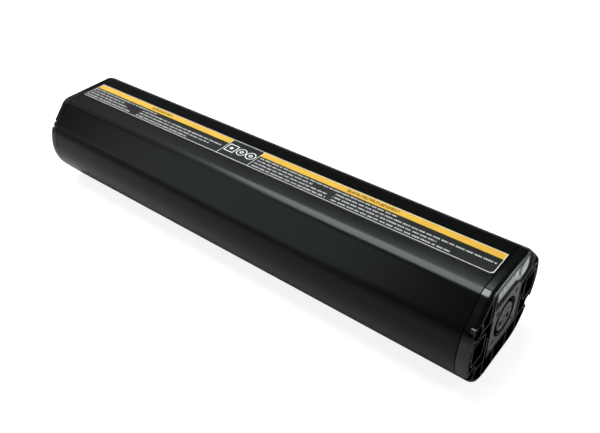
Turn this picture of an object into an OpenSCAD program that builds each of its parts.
/* [Housing] */
// Overall length over both end caps
pack_length = 349; // [340:1:420]
// Height from the flat bottom to the flat top
pack_height = 65; // [64:0.5:70]
// Half width of the flat top, to its unrounded corner
top_half = 22; // [20:0.5:25]
// Half width at the shoulder, where the upper bevel meets the side
shoulder_half = 39.1; // [38.5:0.1:41]
// Height of the shoulder above the bottom
shoulder_height = 47.6; // [46.5:0.1:49]
// Half width at the hip, the widest corner before rounding
hip_half = 44.7; // [44:0.1:47]
// Height of the hip above the bottom
hip_height = 26.5; // [25:0.5:28]
// Half width of the flat bottom, to its unrounded corner
foot_half = 25.7; // [24.5:0.1:28]
// Radius of the corners beside the flat top
top_corner_r = 8.7; // [7:0.1:10]
// Radius of the shoulders
shoulder_r = 17.1; // [14:0.1:20]
// Radius of the hips
hip_r = 29.7; // [26:0.1:31]
// Radius of the corners beside the flat bottom
foot_r = 20.2; // [16:0.1:22]
// Wall thickness of the aluminium extrusion
wall = 2; // [1.6:0.1:2.4]

/* [Screw ports] */
// Outer radius of each screw port inside the extrusion
port_r = 3.6; // [3:0.1:4]
// Radius of the thread-forming hole in each port
port_hole_r = 1.75; // [1.5:0.05:2]
// Distance of each port's centre in from the outside of the housing
port_inset = 3.3; // [3:0.1:3.6]

/* [End caps] */
// Height of the cap that shows past the housing
cap_band = 6.4; // [6:0.1:8]
// Length of the spigot that reaches into the housing
spigot_l = 7; // [5:0.5:9]
// Wall of the spigot
spigot_wall = 2; // [1.5:0.1:2.5]
// Clearance between a piece inside the housing and its wall
slip = 0.3; // [0.2:0.05:0.5]
// Depth of the rounded edge round each cap, along the pack
edge_l = 2.6; // [1.5:0.1:3]
// How far the rounded edge draws in at the end
edge_in = 1.1; // [0.6:0.1:1.4]
// Width of the rim round the moulded hollows
rim_w = 1.5; // [1.2:0.1:2]
// Depth of the moulded hollows
hollow_depth = 4; // [3:0.1:4.4]
// Thickness of the moulded ribs
rib_w = 1.2; // [0.8:0.1:1.6]
// Thickness of the rubber gasket under each cap
gasket_t = 0.6; // [0.4:0.1:1]
// How far the gasket sits in from the outside
gasket_inset = 0.4; // [0.2:0.1:0.8]

/* [Cap screws] */
// Radius of the pocket that takes a cap screw's head
screw_pocket_r = 4; // [3.8:0.1:4.2]
// Radius of a cap screw's head
cap_head_r = 2.9; // [2.6:0.1:3.1]
// Height of a cap screw's head
cap_head_h = 2.6; // [2:0.1:3]
// Radius of a cap screw's shank at the bottom of its thread
cap_shank_r = 1.7; // [1.4:0.05:1.7]
// Length of a cap screw under its head
cap_screw_l = 16; // [12:1:20]

/* [Mounting plates] */
// Half width of the plate
plate_half = 16.6; // [15.5:0.1:17]
// Height of the plate's lower edge above the bottom of the pack
plate_low = 15.6; // [15:0.1:17]
// Height of the plate's upper edge above the bottom of the pack
plate_high = 48.6; // [48:0.1:48.8]
// Thickness of the plate
plate_t = 3; // [2.4:0.1:3.4]
// Size of the chamfer on the plate's lower corners
plate_chamfer = 5; // [2:0.5:6]
// Spacing of the bracket screws across the pack
bolt_span_y = 22; // [21:0.1:23]
// Spacing of the bracket screws up the pack
bolt_span_z = 21.6; // [21:0.1:23]
// Radius of the tapped holes for the bracket screws
bolt_hole_r = 1.65; // [1.4:0.05:1.9]
// Depth of the tapped holes
bolt_hole_depth = 6.6; // [5:0.1:7]
// Radius of the posts behind the tapped holes
bolt_post_r = 3.2; // [2.8:0.1:3.4]

/* [Round connector] */
// Height of the connector's axis above the bottom of the pack
connector_z = 32.6; // [32:0.1:33]
// Radius of the round opening that the plug's shell goes into
socket_r = 10.8; // [10.6:0.1:11]
// Radius of the core that carries the contacts
core_r = 8.6; // [8.4:0.1:9]
// Length of the groove between the core and its opening
groove_l = 11; // [9:0.5:12]
// Radius of a power contact's sleeve
power_r = 2.6; // [2.2:0.1:2.8]
// Radius of a power contact's bore
power_bore_r = 1.8; // [1.4:0.1:2]
// Distance of each power contact from the centre line
power_y = 4.2; // [3.6:0.1:4.6]
// Radius of a signal contact's sleeve
signal_r = 0.7; // [0.6:0.05:0.9]
// Spacing of the signal contacts
signal_pitch = 2.6; // [2.2:0.1:2.8]

/* [Button panel] */
// Half width of the straight part of the recess, left of the centre line
recess_left = 15.2; // [14:0.1:15.3]
// Height of the recess's lower edge above the bottom of the pack
recess_low = 49.6; // [49.4:0.1:51]
// Radius of the round end of the recess
lobe_r = 8.2; // [7.8:0.1:8.4]
// Distance of the round end's centre from the centre line
lobe_y = 18.8; // [18:0.1:19.2]
// Height of the round end's centre above the bottom of the pack
lobe_z = 53.9; // [53.4:0.1:54]
// Depth of the panel's face below the cap's face
panel_depth = 1.6; // [1.2:0.1:1.8]
// Thickness of the panel
panel_t = 1.2; // [1:0.1:1.4]
// Radius of the power button
button_r = 4.6; // [4:0.1:5]
// How far the button stands out of its panel
button_proud = 0.9; // [0.6:0.1:1.2]
// Travel of the power button
button_travel = 0.6; // [0.3:0.1:0.6]
// Number of charge lights
light_count = 5; // [3:1:5]
// Spacing of the charge lights
light_pitch = 4.6; // [4:0.1:5]

/* [Cells] */
// Radius of a cell
cell_r = 9.25; // [9:0.05:9.3]
// Length of a cell
cell_l = 65; // [60:0.5:65.5]
// Number of banks of cells, end to end
bank_count = 4; // [4:1:4]
// Thickness of the nickel links
nickel_t = 0.3; // [0.2:0.05:0.5]
// Width of the nickel links
nickel_w = 8; // [6:0.5:9]
// Thickness of the insulating sheets between banks
sheet_t = 0.8; // [0.5:0.1:1.2]
// Depth to which each holder takes the cells
holder_t = 8; // [6:0.5:10]
// Clearance round a cell in its holder
cell_slip = 0.15; // [0.1:0.05:0.2]
// Thickness of the foam pad at the far end of the stack
pad_t = 2.5; // [2:0.1:4]
// Radius of the tie rods that hold the stack together
rod_r = 1.5; // [1.3:0.1:1.5]

/* [Electronics] */
// Thickness of the carrier that the main board stands on
carrier_t = 3; // [2:0.5:4]
// Height of the posts between the carrier and the main board
post_l = 8; // [6:0.5:10]
// Width of the main board
board_w = 54; // [53:0.5:55]
// Height of the main board
board_h = 42; // [41.5:0.5:43]
// Thickness of the main board
board_t = 1.6; // [1:0.1:2]
// Wall of the insulating liner round the electronics
liner_t = 1.2; // [0.8:0.1:1.6]
// Radius of a power lead over its insulation
lead_r = 2.2; // [1.8:0.1:2.4]

/* [Label] */
// Half width of the printed label
label_half = 10; // [8:0.1:12]
// Distance from the middle of the pack to the middle of the label
label_shift = 0.6; // [0:0.1:2]
// Distance from the label's ends to the housing's ends
label_margin = 0.4; // [0.2:0.1:4]
// Thickness of the label foil
label_t = 0.2; // [0.1:0.05:0.3]

/* [Hidden] */
$fn = 64;

// Overrun that lets a cut pass clean through a face
overrun = 1;

// Places along the pack, measured from its middle towards the connector
end_x = pack_length / 2;
seam_x = end_x - cap_band;
housing_x = seam_x - gasket_t;
spigot_x = seam_x - spigot_l;

// Corners of the housing's outline, anticlockwise from the lower right, and their radii
corners = [
    [foot_half, 0], [hip_half, hip_height], [shoulder_half, shoulder_height], [top_half, pack_height],
    [-top_half, pack_height], [-shoulder_half, shoulder_height], [-hip_half, hip_height], [-foot_half, 0]
];
corner_radii = [
    foot_r, hip_r, shoulder_r, top_corner_r, top_corner_r, shoulder_r, hip_r, foot_r
];
corner_count = len(corners);
// Smallest radius that an inset corner keeps
least_r = 0.4;

function unit(v) = v / norm(v);
function turned_left(v) = [-v[1], v[0]];
function at(i) = (i + corner_count) % corner_count;
function inward(i) = turned_left(unit(corners[at(i + 1)] - corners[at(i)]));
// A corner of the outline after both its edges have moved inward
function corner_moved(i, inset) =
    corners[i] + (inward(at(i - 1)) + inward(i)) * inset / (1 + inward(at(i - 1)) * inward(i));
function corner_r(i, inset) = max(corner_radii[i] - inset, least_r);
function corner_centre(i, inset) = corner_moved(i, inset + corner_r(i, inset));
function arc_start(i, inset) = corner_centre(i, inset) - inward(at(i - 1)) * corner_r(i, inset);
function arc_end(i, inset) = corner_centre(i, inset) - inward(i) * corner_r(i, inset);

// Screw ports sit under the ends of the straight bevels beside the shoulder and the hip
upper_port = arc_end(2, 0) + inward(2) * port_inset;
lower_port = arc_start(1, 0) + inward(0) * port_inset;
port_spots = [
    upper_port, lower_port, [-upper_port[0], upper_port[1]], [-lower_port[0], lower_port[1]]
];

// Outline of the housing, moved inward
module outline(inset = 0) {
    polygon([for (i = [0 : corner_count - 1]) each [arc_start(i, inset), arc_end(i, inset)]]);
    for (i = [0 : corner_count - 1])
        intersection() {
            translate(corner_centre(i, inset)) circle(corner_r(i, inset), $fn = 96);
            polygon([
                corner_centre(i, inset), arc_start(i, inset), corner_moved(i, inset), arc_end(i, inset)
            ]);
        }
}

module port_circles(r) {
    for (spot = port_spots) translate(spot) circle(r);
}

// What fits inside the housing and round its screw ports
module bore_outline(inset, grow) {
    difference() {
        outline(inset);
        port_circles(port_r + grow);
    }
}

// Stands a flat outline up across the pack, from x0 to x1
module across(x0, x1) {
    translate([x0, 0, 0]) rotate([90, 0, 90]) linear_extrude(x1 - x0) children();
}

// A round bar along the pack
module bar_x(x0, x1, y, z, r) {
    translate([x0, y, z]) rotate([0, 90, 0]) cylinder(h = x1 - x0, r = r);
}

// A block given by its two corners
module block(low, high) {
    translate(low) cube(high - low);
}

module far_end() {
    mirror([1, 0, 0]) children();
}

// A straight bar with round ends, flat
module capsule(a, b, w) {
    for (p = [a, b]) translate(p) circle(w / 2);
    polygon([
        a + turned_left(unit(b - a)) * w / 2, a - turned_left(unit(b - a)) * w / 2,
        b - turned_left(unit(b - a)) * w / 2, b + turned_left(unit(b - a)) * w / 2
    ]);
}

module rounded_rect(w, h, r) {
    for (y = [-1, 1]) translate([0, y * (h / 2 - r)]) capsule([r - w / 2, 0], [w / 2 - r, 0], 2 * r);
    square([w, h - 2 * r], center = true);
}

// Housing and label

module housing() {
    color([0.07, 0.075, 0.075])
    across(-housing_x, housing_x)
    difference() {
        outline();
        bore_outline(wall, 0);
        port_circles(port_hole_r);
    }
}

// Cut on the label's corner towards the connector
label_cut = 2.4;
label_end = housing_x - label_margin;

module label_foil() {
    color([0.9, 0.66, 0.25])
    translate([0, label_shift, pack_height])
    linear_extrude(label_t)
    polygon([
        [-label_end, -label_half], [label_end - label_cut, -label_half],
        [label_end, label_cut - label_half], [label_end, label_half], [-label_end, label_half]
    ]);
}

// End caps

// Side frames: a square ring of rib on each side of the connector
frame_y = 30.4;
frame_z = 33.2;
frame_w = 14.6;
frame_h = 17;
frame_corner_r = 3.4;
frame_depth = 5.2;
// Plastic wall left round the plate and the recess
island_wall = 1;
// Rib beside the button panel, and the ribs below the plate
upper_rib_y = 20.4;
upper_rib_z = 45.4;
lower_rib_y = 8;
lower_slant_y = 20;

module frame_places() {
    for (side = [-1, 1]) translate([side * frame_y, frame_z]) children();
}

module rib_line(a, b) {
    capsule(a, b, rib_w);
}

// Material left standing inside the rim: rings round the screws, square frames and ribs
module cap_ribs() {
    port_ring_r = screw_pocket_r + rib_w;
    for (spot = port_spots) translate(spot) circle(port_ring_r);
    frame_places() rounded_rect(frame_w, frame_h, frame_corner_r);
    for (side = [-1, 1]) {
        rib_line([side * upper_rib_y, upper_rib_z], [side * upper_rib_y, pack_height]);
        rib_line([side * plate_half, upper_rib_z], [side * upper_port[0], upper_rib_z]);
        rib_line([side * lower_rib_y, 0], [side * lower_rib_y, plate_low]);
        rib_line([side * lower_slant_y, plate_low], [side * lower_port[0], lower_port[1]]);
        rib_line([side * lower_slant_y, 0], [side * lower_slant_y, frame_z]);
        rib_line([side * frame_y, frame_z], [side * hip_half, frame_z]);
    }
}

// The rounded edge is an arc that leaves the side squarely and meets the end face at a low angle
edge_r = (edge_l * edge_l + edge_in * edge_in) / (2 * edge_in);
// Width of the ring that carries the rounded edge, and how far in the block inside it starts
ring_w = edge_in + rim_w * 3 / 4;
block_in = edge_in + rim_w / 3;
// Straight runs of the ring pass a little over its corners, which sit a hair further in and lower
edge_lap = 0.8;
edge_lap_turn = 2;
edge_hair = 0.03;
run_drop = 0.06;
corner_drop = 0.1;

// Profile of that ring: outward from a corner's centre, and along the pack
module edge_profile(reach, drop) {
    band = end_x - seam_x - drop;
    difference() {
        translate([reach - ring_w, 0]) square([ring_w, band]);
        difference() {
            translate([reach - edge_in, band - edge_l]) square([edge_in + overrun, edge_l + overrun]);
            translate([reach - edge_r, band - edge_l]) circle(edge_r, $fn = 96);
        }
    }
}

function straight_l(i) = norm(arc_start(at(i + 1), 0) - arc_end(i, 0));
function outward_turn(i) = atan2(-inward(i)[1], -inward(i)[0]);
function corner_turn(i) = acos(inward(at(i - 1)) * inward(i));

// Radius of the holes that the cap screws pass through
cap_hole_r = cap_shank_r + slip;

// Ways through a cap for its screws and their heads
module screw_ways() {
    across(end_x - hollow_depth, end_x + overrun) port_circles(screw_pocket_r);
    across(seam_x - overrun, end_x) port_circles(cap_hole_r);
}

module cap_edge() {
    difference() {
        translate([seam_x, 0, 0]) rotate([90, 0, 90])
        for (i = [0 : corner_count - 1]) {
            translate(corner_centre(i, 0)) rotate(outward_turn(at(i - 1)) - edge_lap_turn)
            rotate_extrude(angle = corner_turn(i) + 2 * edge_lap_turn, $fn = 96)
            edge_profile(corner_r(i, 0) - edge_hair, corner_drop);
            translate(arc_start(at(i + 1), 0) + inward(i) * edge_r)
            rotate(outward_turn(i)) rotate([90, 0, 0])
            translate([0, 0, -edge_lap])
            linear_extrude(straight_l(i) + 2 * edge_lap) edge_profile(edge_r, run_drop);
        }
        screw_ways();
    }
}

module cap_shell() {
    across(seam_x, end_x) outline(block_in);
    across(spigot_x, seam_x + overrun)
    difference() {
        bore_outline(wall + slip, slip);
        bore_outline(wall + slip + spigot_wall, slip + spigot_wall);
    }
}

module cap_cuts() {
    across(end_x - hollow_depth, end_x + overrun)
    difference() {
        outline(edge_in + rim_w);
        children();
        cap_ribs();
    }
    across(end_x - frame_depth, end_x + overrun)
    frame_places() rounded_rect(frame_w - 2 * rib_w, frame_h - 2 * rib_w, frame_corner_r - rib_w);
    screw_ways();
}

module cap_screws() {
    seat_x = end_x - hollow_depth;
    socket_depth = cap_head_h / 2;
    socket_size_r = cap_head_r / 2;
    for (spot = port_spots) {
        difference() {
            bar_x(seat_x, seat_x + cap_head_h, spot[0], spot[1], cap_head_r);
            translate([seat_x + cap_head_h - socket_depth, spot[0], spot[1]])
            rotate([0, 90, 0]) cylinder(h = socket_depth + overrun, r = socket_size_r, $fn = 6);
        }
        bar_x(seat_x - cap_screw_l, seat_x, spot[0], spot[1], cap_shank_r);
    }
}

module cap_gasket() {
    across(housing_x, seam_x)
    difference() {
        outline(gasket_inset);
        bore_outline(wall, 0);
        port_circles(cap_hole_r);
    }
}

module connector_end_gasket() {
    color([0.03, 0.03, 0.03]) cap_gasket();
}

module far_end_gasket() {
    color([0.03, 0.03, 0.03]) far_end() cap_gasket();
}

module connector_end_screws() {
    color([0.7, 0.7, 0.68]) cap_screws();
}

module far_end_screws() {
    color([0.7, 0.7, 0.68]) far_end() cap_screws();
}

// The plate's face lies just below the cap's face
plate_drop = 0.2;
plate_x = end_x - plate_drop;
plate_back_x = plate_x - plate_t;
bolt_spots = [
    for (y = [-1, 1], z = [-1, 1]) [y * bolt_span_y / 2, connector_z + z * bolt_span_z / 2]
];
// Posts reach through the cap's floor, and their holes stay blind
post_floor = 1;
post_back_x = plate_x - bolt_hole_depth - post_floor;
// Lip of the plate that runs up beside the panel and round the button
lip_gap = 0.4;
lip_w = 1.1;
recess_top = lobe_z + lobe_r;
lip_top = lobe_z + lobe_r * 3 / 5;

module plate_body() {
    polygon([
        [plate_chamfer - plate_half, plate_low], [plate_half - plate_chamfer, plate_low],
        [plate_half, plate_low + plate_chamfer], [plate_half, plate_high],
        [-plate_half, plate_high], [-plate_half, plate_low + plate_chamfer]
    ]);
}

module recess_outline(grow) {
    translate([-recess_left - grow, recess_low - grow])
    square([lobe_y + recess_left + grow, recess_top - recess_low + 2 * grow]);
    translate([lobe_y, lobe_z]) circle(lobe_r + grow);
}

module plate_lip() {
    difference() {
        intersection() {
            recess_outline(lip_gap + lip_w);
            outline(edge_in + lip_gap);
            translate([-pack_height, 0]) square([2 * pack_height, lip_top]);
        }
        recess_outline(lip_gap);
        // No lip along the lower edge, where the plate itself runs
        translate([-recess_left, 0]) square([recess_left, pack_height]);
    }
}

module plate_outline() {
    difference() {
        plate_body();
        recess_outline(lip_gap);
    }
    plate_lip();
}

module plate_posts(r, x0) {
    for (spot = bolt_spots) bar_x(x0, plate_back_x, spot[0], spot[1], r);
}

// Small screws from inside the cap hold each plate
tap_y = 14;
tap_r = 1.25;
tap_depth = 2;
tap_head_r = 2.2;
tap_head_h = 1.6;
tap_seat_x = seam_x + tap_head_h / 2;

module tapped_plate() {
    difference() {
        union() {
            across(plate_back_x, plate_x) children();
            plate_posts(bolt_post_r, post_back_x);
        }
        for (spot = bolt_spots)
            bar_x(plate_x - bolt_hole_depth, plate_x + overrun, spot[0], spot[1], bolt_hole_r);
        for (side = [-1, 1])
            bar_x(plate_back_x - overrun, plate_back_x + tap_depth, side * tap_y, connector_z, tap_r);
    }
}

module plate_screws() {
    for (side = [-1, 1]) {
        bar_x(tap_seat_x - tap_head_h, tap_seat_x, side * tap_y, connector_z, tap_head_r);
        bar_x(tap_seat_x, plate_back_x + tap_depth, side * tap_y, connector_z, tap_r);
    }
}

// Seat of a plate in its cap, with the holes for its posts and screws
module plate_seat() {
    across(plate_back_x, end_x + overrun) children();
    plate_posts(bolt_post_r + slip, post_back_x - slip);
    for (side = [-1, 1]) {
        bar_x(tap_seat_x, plate_back_x + overrun, side * tap_y, connector_z, tap_r);
        bar_x(spigot_x - overrun, tap_seat_x, side * tap_y, connector_z, tap_head_r + slip);
    }
}

// Boss behind the connector, with its own screws and seal
boss_r = 17.4;
insert_screw_ring_r = 14.2;
insert_screw_r = 1.2;
insert_screw_l = 5;
insert_head_r = 2.1;
insert_head_h = 1.4;
seal_r = 11.4;
seal_w = 1.2;
seal_t = 0.8;
groove_end_x = plate_x - groove_l;
insert_flange_t = 2.6;
insert_flange_x = spigot_x - insert_flange_t;
insert_spots = [
    for (turn = [45 : 90 : 315])
        [insert_screw_ring_r * cos(turn), connector_z + insert_screw_ring_r * sin(turn)]
];

// Panel, light guides and button
panel_x = end_x - panel_depth;
panel_back_x = panel_x - panel_t;
light_w = 3;
light_h = 2.2;
light_z = (recess_low + recess_top) / 2;
light_margin = 1.8;
light_first_y = light_margin + light_w / 2 - recess_left;
light_spots = [for (i = [0 : light_count - 1]) light_first_y + i * light_pitch];
guide_reach = 0.7;
guide_back_x = seam_x - guide_reach;
button_x = panel_x + button_proud;
button_gap = 0.35;
button_flange_r = 5.8;
button_flange_t = 0.7;
panel_gap = 0.1;
button_flange_x = panel_back_x - panel_gap - button_flange_t;
button_pocket_x = button_flange_x - button_travel - button_gap;
button_stem_r = 2;
// Indicator board behind the cap's floor, on short bosses
indicator_gap = 2.1;
indicator_x = seam_x - indicator_gap;
indicator_t = 1.4;
indicator_back_x = indicator_x - indicator_t;
indicator_boss_r = 2.2;
indicator_screw_r = 1;
indicator_screw_l = 3.6;
indicator_head_r = 1.7;
indicator_head_h = 1.2;
indicator_screw_z = recess_low + indicator_boss_r;
indicator_spots = [
    [light_first_y + light_pitch / 2, indicator_screw_z],
    [light_first_y + light_count * light_pitch, indicator_screw_z]
];
switch_w = 6;
switch_t = 1.2;
plunger_r = 1.2;
plunger_l = 0.8;

module light_cuts(x0, x1, grow) {
    for (y = light_spots)
        block(
            [x0, y - light_w / 2 - grow, light_z - light_h / 2 - grow],
            [x1, y + light_w / 2 + grow, light_z + light_h / 2 + grow]
        );
}

module connector_end_cap() {
    color([0.05, 0.05, 0.052])
    difference() {
        union() {
            cap_edge();
            difference() {
                cap_shell();
                cap_cuts() connector_island();
            }
            bar_x(spigot_x, seam_x + overrun, 0, connector_z, boss_r);
            for (spot = indicator_spots)
                bar_x(indicator_x, seam_x + overrun, spot[0], spot[1], indicator_boss_r);
        }
        plate_seat() plate_outline();
        // Round opening of the connector and the groove for its seal
        bar_x(spigot_x - overrun, end_x + overrun, 0, connector_z, socket_r);
        difference() {
            bar_x(spigot_x - overrun, spigot_x + seal_t, 0, connector_z, seal_r + seal_w);
            bar_x(spigot_x - 2 * overrun, spigot_x + seal_t + overrun, 0, connector_z, seal_r);
        }
        for (spot = insert_spots)
            bar_x(spigot_x - overrun, spigot_x + insert_screw_l, spot[0], spot[1], insert_screw_r);
        // Recess for the panel, with the ways through for light and button
        across(panel_back_x, end_x + overrun) recess_outline(0);
        light_cuts(seam_x - overrun, panel_back_x + overrun, lip_gap / 2);
        bar_x(button_pocket_x, panel_back_x + overrun, lobe_y, lobe_z, button_flange_r + button_gap);
        bar_x(seam_x - overrun, button_pocket_x + overrun, lobe_y, lobe_z, button_stem_r + button_gap);
        for (spot = indicator_spots)
            bar_x(
                indicator_x - overrun, indicator_x + indicator_screw_l,
                spot[0], spot[1], indicator_screw_r
            );
    }
}

// Plastic that surrounds the plate and the recess
module connector_island() {
    translate([-plate_half - island_wall, plate_low - island_wall])
    square([2 * (plate_half + island_wall), pack_height]);
    translate([lobe_y, lobe_z]) circle(lobe_r + lip_gap + lip_w + island_wall);
}

module far_end_cap() {
    color([0.05, 0.05, 0.052])
    far_end()
    union() {
        cap_edge();
        difference() {
            cap_shell();
            cap_cuts() far_island();
            plate_seat() plate_body();
            bar_x(spigot_x - overrun, end_x + overrun, vent_y, vent_z, vent_stem_r + slip);
            bar_x(end_x - vent_depth, end_x + overrun, vent_y, vent_z, vent_r + slip);
        }
    }
}

// Vent with its membrane, above the far plate
vent_y = 0;
vent_z = 55.6;
vent_r = 4.2;
vent_stem_r = 2.6;
vent_depth = 3;
vent_stem_l = 7.4;
vent_slot_r = 0.6;
vent_ring_r = 2.4;

module far_island() {
    translate([-plate_half - island_wall, plate_low - island_wall])
    square([2 * (plate_half + island_wall), plate_high - plate_low + 2 * island_wall]);
    translate([vent_y, vent_z]) circle(vent_r + slip + rib_w);
}

module vent_plug() {
    color([0.09, 0.09, 0.095])
    far_end()
    difference() {
        union() {
            bar_x(end_x - vent_depth, end_x - plate_drop, vent_y, vent_z, vent_r);
            bar_x(end_x - vent_stem_l, end_x - vent_depth, vent_y, vent_z, vent_stem_r);
        }
        for (turn = [0 : 60 : 300])
            bar_x(
                end_x - vent_depth / 2, end_x + overrun,
                vent_y + vent_ring_r * cos(turn), vent_z + vent_ring_r * sin(turn), vent_slot_r
            );
    }
}

module mounting_plate() {
    color([0.5, 0.51, 0.5])
    difference() {
        tapped_plate() plate_outline();
        bar_x(plate_back_x - overrun, plate_x + overrun, 0, connector_z, socket_r);
    }
}

module mounting_plate_screws() {
    color([0.7, 0.7, 0.68]) plate_screws();
}

module far_plate_screws() {
    color([0.7, 0.7, 0.68]) far_end() plate_screws();
}

// Shallow round seat in the far plate for the lock's keeper
keeper_r = 8;
keeper_depth = 1.2;

module far_plate() {
    color([0.5, 0.51, 0.5])
    far_end()
    difference() {
        tapped_plate() plate_body();
        bar_x(plate_x - keeper_depth, plate_x + overrun, 0, connector_z, keeper_r);
    }
}

// Connector

power_drop = 1.9;
power_spots = [for (side = [-1, 1]) [side * power_y, connector_z - power_drop]];
signal_rise = 5;
signal_spots = [
    for (i = [-1.5 : 1 : 1.5]) [i * signal_pitch, connector_z + signal_rise]
];
contact_drop = 1.6;
contact_lip = 0.5;
contact_tail = 4;
contact_x = plate_x - contact_drop;
contact_back_x = insert_flange_x - contact_tail;
signal_bore_r = 0.45;
key_w = 0.9;
key_depth = 1.2;

module connector_insert() {
    color([0.42, 0.43, 0.42])
    difference() {
        union() {
            bar_x(insert_flange_x, plate_x, 0, connector_z, core_r);
            bar_x(insert_flange_x, spigot_x, 0, connector_z, boss_r);
            bar_x(spigot_x, groove_end_x, 0, connector_z, socket_r - slip / 2);
        }
        for (spot = power_spots) {
            bar_x(contact_x, plate_x + overrun, spot[0], spot[1], power_r - contact_lip);
            bar_x(insert_flange_x - overrun, contact_x, spot[0], spot[1], power_r);
        }
        for (spot = signal_spots)
            bar_x(insert_flange_x - overrun, plate_x + overrun, spot[0], spot[1], signal_r);
        // Groove that keeps the two power contacts apart and keys the plug
        block(
            [plate_x - key_depth, -key_w / 2, connector_z - core_r],
            [plate_x + overrun, key_w / 2, connector_z + power_drop]
        );
        for (spot = insert_spots)
            bar_x(insert_flange_x - overrun, spigot_x + overrun, spot[0], spot[1], insert_screw_r);
    }
}

module connector_insert_screws() {
    color([0.7, 0.7, 0.68])
    for (spot = insert_spots) {
        bar_x(insert_flange_x - insert_head_h, insert_flange_x, spot[0], spot[1], insert_head_r);
        bar_x(insert_flange_x, spigot_x + insert_screw_l, spot[0], spot[1], insert_screw_r);
    }
}

module connector_seal() {
    color([0.03, 0.03, 0.03])
    difference() {
        bar_x(spigot_x, spigot_x + seal_t, 0, connector_z, seal_r + seal_w);
        bar_x(spigot_x - overrun, spigot_x + seal_t + overrun, 0, connector_z, seal_r);
    }
}

module power_contacts() {
    color([0.83, 0.68, 0.3])
    for (spot = power_spots)
        difference() {
            bar_x(contact_back_x, contact_x, spot[0], spot[1], power_r);
            bar_x(spigot_x, contact_x + overrun, spot[0], spot[1], power_bore_r);
        }
}

module signal_contacts() {
    color([0.83, 0.68, 0.3])
    for (spot = signal_spots)
        difference() {
            bar_x(contact_back_x, contact_x, spot[0], spot[1], signal_r);
            bar_x(groove_end_x, contact_x + overrun, spot[0], spot[1], signal_bore_r);
        }
}

// Button panel

module button_panel() {
    color([0.72, 0.74, 0.73])
    difference() {
        across(panel_back_x, panel_x) recess_outline(-slip / 2);
        light_cuts(panel_back_x - overrun, panel_x + overrun, slip / 6);
        bar_x(panel_back_x - overrun, panel_x + overrun, lobe_y, lobe_z, button_r + button_gap);
    }
}

module light_guides() {
    color([0.86, 0.9, 0.88])
    light_cuts(guide_back_x, panel_x, 0);
}

module power_button() {
    color([0.78, 0.8, 0.79])
    union() {
        bar_x(button_flange_x, button_x, lobe_y, lobe_z, button_r);
        bar_x(button_flange_x, button_flange_x + button_flange_t, lobe_y, lobe_z, button_flange_r);
        bar_x(plunger_x + plunger_l, button_flange_x, lobe_y, lobe_z, button_stem_r);
    }
}

plunger_x = indicator_x + switch_t;

module switch_plunger() {
    color([0.15, 0.15, 0.15])
    bar_x(plunger_x, plunger_x + plunger_l, lobe_y, lobe_z, plunger_r);
}

module power_switch() {
    color([0.6, 0.6, 0.58])
    difference() {
        block(
            [indicator_x, lobe_y - switch_w / 2, lobe_z - switch_w / 2],
            [plunger_x, lobe_y + switch_w / 2, lobe_z + switch_w / 2]
        );
        bar_x(indicator_x + switch_t / 3, plunger_x + overrun, lobe_y, lobe_z, plunger_r + slip);
    }
}

indicator_left = 16;
indicator_low = 50.2;
indicator_high = 59;
indicator_right = lobe_y + switch_w / 2 + lip_w;

module indicator_board() {
    color([0.05, 0.25, 0.12])
    difference() {
        across(indicator_back_x, indicator_x)
        intersection() {
            outline(wall + spigot_wall + 2 * slip);
            translate([-indicator_left, indicator_low])
            square([indicator_left + indicator_right, indicator_high - indicator_low]);
        }
        for (spot = indicator_spots)
            bar_x(indicator_back_x - overrun, indicator_x + overrun, spot[0], spot[1], indicator_screw_r);
    }
}

module indicator_board_screws() {
    color([0.7, 0.7, 0.68])
    for (spot = indicator_spots) {
        bar_x(indicator_back_x - indicator_head_h, indicator_back_x, spot[0], spot[1], indicator_head_r);
        bar_x(
            indicator_back_x, indicator_back_x + indicator_screw_l,
            spot[0], spot[1], indicator_screw_r
        );
    }
}

module indicator_lights() {
    color([0.9, 0.9, 0.8])
    for (y = light_spots)
        block(
            [indicator_x, y - light_h / 2, light_z - light_h / 2],
            [guide_back_x - slip, y + light_h / 2, light_z + light_h / 2]
        );
}

// Cells: three, four and three across, lying along the pack

cell_pitch = 2 * (cell_r + cell_slip);
row_rise = cell_pitch * sqrt(3) / 2;
stack_z = pack_height / 2;
cell_spots = concat(
    [for (i = [-1 : 1]) [i * cell_pitch, stack_z + row_rise]],
    [for (i = [-1.5 : 1 : 1.5]) [i * cell_pitch, stack_z]],
    [for (i = [-1 : 1]) [i * cell_pitch, stack_z - row_rise]]
);
stack_x = -spigot_x + pad_t;
bank_pitch = cell_l + 2 * nickel_t + sheet_t;
function bank_x(bank) = stack_x + sheet_t + nickel_t + (bank - 1) * bank_pitch;
stack_end_x = bank_x(bank_count) + cell_l + nickel_t + sheet_t;
cell_edge = 0.6;

// One cell: a can with a drawn-in neck under its raised cap
module cell(x, y, z) {
    neck_r = cell_r - cell_edge;
    neck_x = x + cell_l - holder_t / 2;
    difference() {
        bar_x(x, x + cell_l, y, z, cell_r);
        difference() {
            bar_x(neck_x, neck_x + cell_edge, y, z, cell_r + overrun);
            bar_x(neck_x - overrun, neck_x + cell_edge + overrun, y, z, neck_r);
        }
    }
}

module cell_bank(bank) {
    color([0.25, 0.45, 0.62])
    for (spot = cell_spots) cell(bank_x(bank), spot[0], spot[1]);
}

rod_z_offset = 25.4;
rod_spots = [
    for (side = [-1, 1], level = [-1, 1]) [side * cell_pitch / 2, stack_z + level * rod_z_offset]
];
nut_r = 3.1;
nut_h = 2.4;
rod_end = 1.2;

// Flat sense harness in a channel along the top of the stack
harness_w = 12;
harness_t = 0.5;
channel_spare = 0.1;
channel_depth = liner_t + channel_spare;
channel_z = pack_height - wall - slip - channel_depth;
harness_bend_r = 3;

module channel() {
    translate([-harness_w / 2 - slip, channel_z]) square([harness_w + 2 * slip, pack_height]);
}

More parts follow.
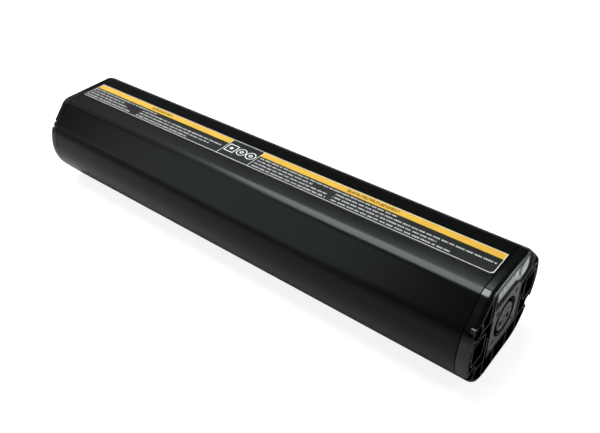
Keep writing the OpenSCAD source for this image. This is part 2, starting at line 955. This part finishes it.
module rod_holes() {
    for (spot = rod_spots) translate(spot) circle(rod_r + cell_slip);
}

// What every piece of the stack is cut from
module stack_outline() {
    difference() {
        bore_outline(wall + slip, slip);
        rod_holes();
        channel();
    }
}

module holder_outline() {
    difference() {
        stack_outline();
        for (spot = cell_spots) translate(spot) circle(cell_r + cell_slip / 2);
    }
}

// Holders are numbered from the far end, two to a bank
module cell_holder(number) {
    bank = ceil(number / 2);
    x0 = bank_x(bank) + (number % 2 == 1 ? 0 : cell_l - holder_t);
    color([0.12, 0.12, 0.13])
    difference() {
        across(x0, x0 + holder_t) holder_outline();
        if (number == 1)
            for (spot = rod_spots)
                translate([x0 - overrun, spot[0], spot[1]])
                rotate([0, 90, 0]) cylinder(h = nut_h + overrun, r = nut_r + cell_slip, $fn = 6);
    }
}

// Links: each joins two or four cells of a bank, at its two faces in turn
link_sets_a = [[[0, 3]], [[7, 4], [4, 1], [1, 2]], [[5, 6], [6, 9], [9, 8]]];
link_sets_b = [[[0, 3], [3, 7], [7, 4]], [[1, 2], [2, 6], [6, 5]], [[8, 9]]];

module links(sets, x0) {
    for (set = sets)
        across(x0, x0 + nickel_t)
        for (pair = set) capsule(cell_spots[pair[0]], cell_spots[pair[1]], nickel_w);
}

module nickel_links() {
    color([0.72, 0.71, 0.66])
    for (bank = [1 : bank_count]) {
        links(link_sets_a, bank_x(bank) - nickel_t);
        links(link_sets_b, bank_x(bank) + cell_l);
    }
}

module insulating_sheets() {
    color([0.82, 0.78, 0.62])
    for (bank = [1 : bank_count + 1]) {
        x0 = bank_x(bank) - nickel_t - sheet_t;
        across(x0, x0 + sheet_t) stack_outline();
    }
}

module end_pad() {
    color([0.2, 0.2, 0.2])
    across(-spigot_x, stack_x) stack_outline();
}

carrier_x = stack_end_x + carrier_t;
rod_x0 = bank_x(1);
rod_x1 = carrier_x + nut_h + rod_end;

module tie_rods() {
    color([0.66, 0.66, 0.64])
    for (spot = rod_spots) bar_x(rod_x0, rod_x1, spot[0], spot[1], rod_r);
}

module tie_rod_nuts() {
    color([0.7, 0.7, 0.68])
    for (spot = rod_spots, x0 = [rod_x0, carrier_x])
        difference() {
            translate([x0, spot[0], spot[1]]) rotate([0, 90, 0]) cylinder(h = nut_h, r = nut_r, $fn = 6);
            bar_x(x0 - overrun, x0 + nut_h + overrun, spot[0], spot[1], rod_r + cell_slip / 3);
        }
}

board_x = carrier_x + post_l;
board_face_x = board_x + board_t;
socket_t = 5.6;
socket_h = 3.4;
harness_x = board_face_x + socket_t / 2;
sense_socket_z = stack_z + board_h / 2 - socket_h;

module sense_harness() {
    color([0.75, 0.45, 0.12])
    union() {
        block(
            [bank_x(1), -harness_w / 2, channel_z],
            [harness_x - harness_bend_r, harness_w / 2, channel_z + harness_t]
        );
        translate([harness_x - harness_bend_r, harness_w / 2, channel_z + harness_t - harness_bend_r])
        rotate([90, 0, 0]) rotate_extrude(angle = 90)
        translate([harness_bend_r - harness_t, 0]) square([harness_t, harness_w]);
        block(
            [harness_x - harness_t, -harness_w / 2, sense_socket_z + socket_h],
            [harness_x, harness_w / 2, channel_z + harness_t - harness_bend_r]
        );
    }
}

// Electronics bay

post_r = 3;
board_screw_r = 1.2;
board_screw_l = 7;
board_head_r = 2.4;
board_head_h = 1.8;
board_edge = 4;
post_spots = [
    for (side = [-1, 1], level = [-1, 1])
        [side * (board_w / 2 - board_edge), stack_z + level * (board_h / 2 - board_edge)]
];

module board_carrier() {
    color([0.14, 0.14, 0.15])
    difference() {
        union() {
            across(stack_end_x, carrier_x) stack_outline();
            for (spot = post_spots) bar_x(carrier_x - overrun, board_x, spot[0], spot[1], post_r);
        }
        for (spot = post_spots)
            bar_x(board_face_x - board_screw_l, board_x + overrun, spot[0], spot[1], board_screw_r);
    }
}

module bay_liner() {
    color([0.8, 0.78, 0.7])
    difference() {
        across(carrier_x, spigot_x)
        difference() {
            bore_outline(wall + slip, slip);
            bore_outline(wall + slip + liner_t, slip + liner_t);
        }
        across(carrier_x - overrun, harness_x + slip) channel();
    }
}

module main_board() {
    color([0.05, 0.25, 0.12])
    difference() {
        block(
            [board_x, -board_w / 2, stack_z - board_h / 2],
            [board_face_x, board_w / 2, stack_z + board_h / 2]
        );
        for (spot = post_spots)
            bar_x(board_x - overrun, board_face_x + overrun, spot[0], spot[1], board_screw_r + cell_slip);
    }
}

module main_board_screws() {
    color([0.7, 0.7, 0.68])
    for (spot = post_spots) {
        bar_x(board_face_x, board_face_x + board_head_h, spot[0], spot[1], board_head_r);
        bar_x(board_face_x - board_screw_l, board_face_x, spot[0], spot[1], board_screw_r);
    }
}

// A component on the main board, given by its centre across the pack
module on_board(y, z, w, h, t) {
    block([board_face_x, y - w / 2, z - h / 2], [board_face_x + t, y + w / 2, z + h / 2]);
}

transistor_w = 8.6;
transistor_h = 9;
transistor_t = 4.4;
transistor_pitch = 10.6;
transistor_inset = 8.5;
transistor_rise = board_h / 2 - transistor_inset;
spreader_t = 4;
spreader_h = 9.6;
spreader_foot_w = 4;
spreader_half = board_w / 2 - slip;
spreader_foot_h = 5;
spreader_z = stack_z + transistor_rise - spreader_h / 2;
spreader_x = board_face_x + transistor_t;
spreader_screw_r = 1.1;
spreader_head_r = 2;
spreader_head_h = 1.5;
spreader_spots = [
    for (side = [-1, 1])
        [side * (spreader_half - spreader_foot_w / 2), spreader_z + spreader_foot_h / 2]
];

module power_transistors() {
    color([0.06, 0.06, 0.06])
    for (i = [-1.5 : 1 : 1.5])
        on_board(
            i * transistor_pitch, stack_z + transistor_rise,
            transistor_w, transistor_h, transistor_t
        );
}

module heat_spreader() {
    color([0.75, 0.76, 0.77])
    difference() {
        union() {
            block(
                [spreader_x, -spreader_half, spreader_z],
                [spreader_x + spreader_t, spreader_half, spreader_z + spreader_h]
            );
            for (spot = spreader_spots)
                on_board(
                    spot[0], spot[1], spreader_foot_w, spreader_foot_h, transistor_t + spreader_t
                );
        }
        for (spot = spreader_spots)
            bar_x(
                board_face_x - overrun, spreader_x + spreader_t + overrun,
                spot[0], spot[1], spreader_screw_r
            );
    }
}

module heat_spreader_screws() {
    color([0.7, 0.7, 0.68])
    for (spot = spreader_spots) {
        head_x = spreader_x + spreader_t;
        bar_x(head_x, head_x + spreader_head_h, spot[0], spot[1], spreader_head_r);
        bar_x(board_face_x, head_x, spot[0], spot[1], spreader_screw_r);
    }
}

chip_y = -3;
chip_drop = 7;
chip_w = 9;
chip_t = 1.4;
small_chip_y = -13;
small_chip_drop = 6.4;
small_chip_w = 6;
small_chip_h = 5;

module control_chips() {
    color([0.06, 0.06, 0.07])
    union() {
        on_board(chip_y, stack_z - chip_drop, chip_w, chip_w, chip_t);
        on_board(small_chip_y, stack_z - small_chip_drop, small_chip_w, small_chip_h, chip_t);
    }
}

capacitor_r = 4.6;
capacitor_l = 12;
capacitor_y = 13.6;
capacitor_drops = [3.6, 14.2];

module buffer_capacitors() {
    color([0.1, 0.12, 0.25])
    for (drop = capacitor_drops)
        bar_x(board_face_x, board_face_x + capacitor_l, capacitor_y, stack_z - drop, capacitor_r);
}

fuse_y = -8;
fuse_inset = 5;
fuse_drop = board_h / 2 - fuse_inset;
fuse_w = 21;
fuse_h = 7;
fuse_t = 6.4;

module main_fuse() {
    color([0.85, 0.82, 0.75])
    on_board(fuse_y, stack_z - fuse_drop, fuse_w, fuse_h, fuse_t);
}

signal_socket_y = 5.6;
signal_socket_rise = 2.6;
signal_w = 9;
indicator_socket_y = -12;
indicator_socket_rise = 3;
ribbon_w = 7;
ribbon_t = 0.8;

module board_sockets() {
    color([0.85, 0.84, 0.8])
    union() {
        on_board(0, sense_socket_z + socket_h / 2, harness_w + 2 * rib_w, socket_h, socket_t);
        on_board(signal_socket_y, stack_z + signal_socket_rise, signal_w, socket_h, socket_t);
        on_board(indicator_socket_y, stack_z + indicator_socket_rise, ribbon_w + rib_w, socket_h, socket_t);
    }
}

terminal_w = 7;
terminal_h = 7.4;
terminal_t = 6;
terminal_y = board_w / 2 - terminal_w / 2 - slip;
terminal_drop = 2;

module power_terminals() {
    color([0.8, 0.65, 0.3])
    for (side = [-1, 1])
        on_board(side * terminal_y, stack_z - terminal_drop, terminal_w, terminal_h, terminal_t);
}

// A lead or ribbon that swings from one point to another and leaves both squarely
path_steps = 16;
function swing(t) = (1 - cos(180 * t)) / 2;
function path_point(a, b, t) = [
    a[0] + (b[0] - a[0]) * t, a[1] + (b[1] - a[1]) * swing(t), a[2] + (b[2] - a[2]) * swing(t)
];
function path_slope(a, b, t) = unit([b[0] - a[0], (b[1] - a[1]) * sin(180 * t) * PI / 2,
    (b[2] - a[2]) * sin(180 * t) * PI / 2]);
function ring_points(a, b, t, shape) =
    let (
        ahead = path_slope(a, b, t), aside = unit(cross([0, 0, 1], ahead)), above = cross(ahead, aside)
    )
    [for (p = shape) path_point(a, b, t) + aside * p[0] + above * p[1]];

module swept(a, b, shape) {
    sides = len(shape);
    points = [for (i = [0 : path_steps]) each ring_points(a, b, i / path_steps, shape)];
    last = path_steps * sides;
    polyhedron(points, concat(
        [[for (k = [0 : sides - 1]) sides - 1 - k]],
        [[for (k = [0 : sides - 1]) last + k]],
        [for (i = [0 : path_steps - 1], k = [0 : sides - 1])
            let (p = i * sides + k, q = i * sides + (k + 1) % sides)
            each [[p, q, q + sides], [p, q + sides, p + sides]]]
    ));
}

lead_sides = 12;
round_shape = [for (k = [0 : lead_sides - 1]) lead_r * [cos(360 * k / lead_sides), sin(360 * k / lead_sides)]];
function flat_shape(w, t) = [[-w / 2, -t / 2], [w / 2, -t / 2], [w / 2, t / 2], [-w / 2, t / 2]];

module power_leads() {
    color([0.6, 0.05, 0.05])
    for (i = [0, 1])
        swept(
            [board_face_x + terminal_t, (2 * i - 1) * terminal_y, stack_z - terminal_drop],
            [contact_back_x, power_spots[i][0], power_spots[i][1]],
            round_shape
        );
}

module signal_cable() {
    color([0.3, 0.3, 0.32])
    swept(
        [board_face_x + socket_t, signal_socket_y, stack_z + signal_socket_rise],
        [contact_back_x, 0, connector_z + signal_rise],
        flat_shape(signal_w, 2 * signal_r)
    );
}

indicator_cable_y = indicator_socket_y + light_pitch / 2;

module indicator_cable() {
    color([0.3, 0.3, 0.32])
    swept(
        [board_face_x + socket_t, indicator_socket_y, stack_z + indicator_socket_rise],
        [indicator_back_x, indicator_cable_y, light_z],
        flat_shape(ribbon_w, ribbon_t)
    );
}

housing();
label_foil();
connector_end_cap();
connector_end_gasket();
connector_end_screws();
far_end_cap();
far_end_gasket();
far_end_screws();
mounting_plate();
mounting_plate_screws();
far_plate();
far_plate_screws();
vent_plug();
connector_insert();
connector_insert_screws();
connector_seal();
power_contacts();
signal_contacts();
button_panel();
light_guides();
power_button();
switch_plunger();
indicator_board();
indicator_board_screws();
indicator_lights();
power_switch();
indicator_cable();
cell_bank(1);  // cell_bank_1
cell_bank(2);  // cell_bank_2
cell_bank(3);  // cell_bank_3
cell_bank(4);  // cell_bank_4
cell_holder(1);  // cell_holder_1
cell_holder(2);  // cell_holder_2
cell_holder(3);  // cell_holder_3
cell_holder(4);  // cell_holder_4
cell_holder(5);  // cell_holder_5
cell_holder(6);  // cell_holder_6
cell_holder(7);  // cell_holder_7
cell_holder(8);  // cell_holder_8
nickel_links();
insulating_sheets();
end_pad();
tie_rods();
tie_rod_nuts();
sense_harness();
board_carrier();
bay_liner();
main_board();
main_board_screws();
power_transistors();
heat_spreader();
heat_spreader_screws();
control_chips();
buffer_capacitors();
main_fuse();
board_sockets();
power_terminals();
power_leads();
signal_cable();
